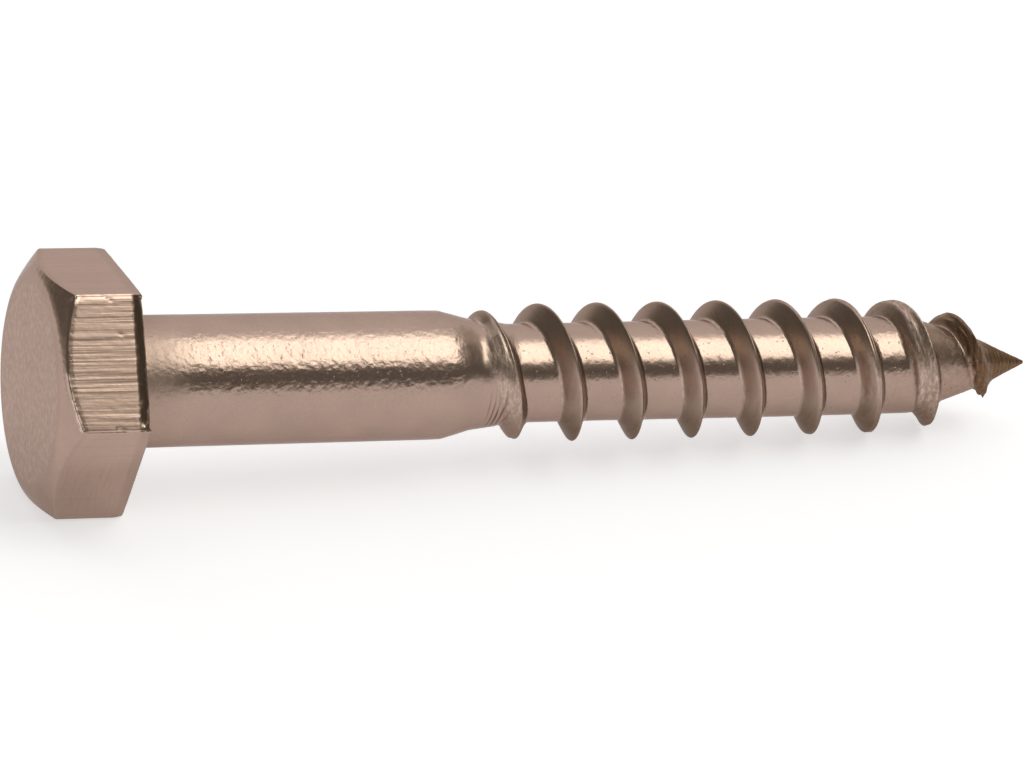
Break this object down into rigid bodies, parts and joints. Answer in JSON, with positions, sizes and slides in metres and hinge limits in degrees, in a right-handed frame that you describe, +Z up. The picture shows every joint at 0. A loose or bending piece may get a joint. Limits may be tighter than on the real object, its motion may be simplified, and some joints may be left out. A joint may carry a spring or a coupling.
{
  "type": "hex lag screw",
  "caption": "Hex head lag screw lying at rest: chamfered hexagon head, plain shank, stepped shoulder, coarse right-hand wood thread and a gimlet point, in stainless steel.",
  "frame": {"origin": "centre of the bearing face under the head, on the screw's axis", "axes": "+Z up from the surface that the screw lies on, +X level along the screw towards its point (the axis itself drops 3.34 degrees towards the point, because the head is larger than the thread), +Y level across it"},
  "size_m": [0.06, 0.015, 0.0133],
  "materials": {
    "steel": "plain cold-formed stainless steel, bright drawn shank with a fine grain, sheared marks down the head's flats, burnished thread crests"
  },
  "bodies": {
    "root": {"lag_screw": "steel"}
  },
  "joints": []
}
